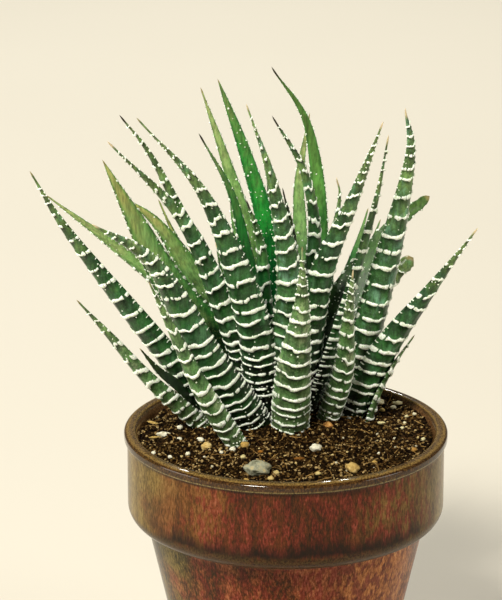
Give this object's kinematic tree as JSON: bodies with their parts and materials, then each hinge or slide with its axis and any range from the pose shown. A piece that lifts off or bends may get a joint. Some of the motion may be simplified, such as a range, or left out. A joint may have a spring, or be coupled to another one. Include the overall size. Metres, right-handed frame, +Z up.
{
  "type": "potted haworthia",
  "caption": "Small succulent with white-banded pointed leaves in a rosette, in a round glazed pot with a rolled lip, filled with potting mix.",
  "frame": {"origin": "centre of the pot's flat underside, on the pot's axis", "axes": "+Z up along the pot's axis, -Y towards the side that the picture shows, +X to the right in the picture"},
  "size_m": [0.122, 0.117, 0.176],
  "materials": {
    "glaze": "glossy oxblood glaze with fine dark and pink streaks",
    "soil": "loose, matte, granular",
    "leaf": "waxy green with raised white bands",
    "stem": "matte",
    "grey_stone": "matte",
    "tan_stone": "matte",
    "perlite": "matte",
    "bark": "matte"
  },
  "bodies": {
    "root": {"bark_chip": "bark", "leaf_back_01": "leaf", "leaf_back_02": "leaf", "leaf_back_03": "leaf", "leaf_back_04": "leaf", "leaf_back_05": "leaf", "leaf_back_06": "leaf", "leaf_back_07": "leaf", "leaf_inner_01": "leaf", "leaf_inner_02": "leaf", "leaf_inner_03": "leaf", "leaf_inner_04": "leaf", "leaf_inner_05": "leaf", "leaf_inner_06": "leaf", "leaf_inner_07": "leaf", "leaf_inner_08": "leaf", "leaf_middle_01": "leaf", "leaf_middle_02": "leaf", "leaf_middle_03": "leaf", "leaf_middle_04": "leaf", "leaf_middle_05": "leaf", "leaf_middle_06": "leaf", "leaf_middle_07": "leaf", "leaf_middle_08": "leaf", "leaf_middle_09": "leaf", "leaf_middle_10": "leaf", "leaf_middle_11": "leaf", "leaf_middle_12": "leaf", "leaf_middle_13": "leaf", "leaf_middle_14": "leaf", "leaf_outer_01": "leaf", "leaf_outer_02": "leaf", "leaf_outer_03": "leaf", "leaf_outer_04": "leaf", "leaf_outer_05": "leaf", "leaf_outer_06": "leaf", "leaf_outer_07": "leaf", "leaf_outer_08": "leaf", "leaf_outer_09": "leaf", "leaf_outer_10": "leaf", "leaf_outer_11": "leaf", "leaf_outer_12": "leaf", "leaf_outer_13": "leaf", "leaf_outer_14": "leaf", "leaf_outer_15": "leaf", "leaf_outer_16": "leaf", "leaf_outer_17": "leaf", "leaf_outer_18": "leaf", "leaf_outer_19": "leaf", "leaf_outer_20": "leaf", "perlite_back": "perlite", "perlite_front": "perlite", "perlite_left": "perlite", "pot": "glaze", "soil": "soil", "stem": "stem", "stone_buff": "tan_stone", "stone_grey": "grey_stone", "stone_tan": "tan_stone"}
  },
  "joints": []
}
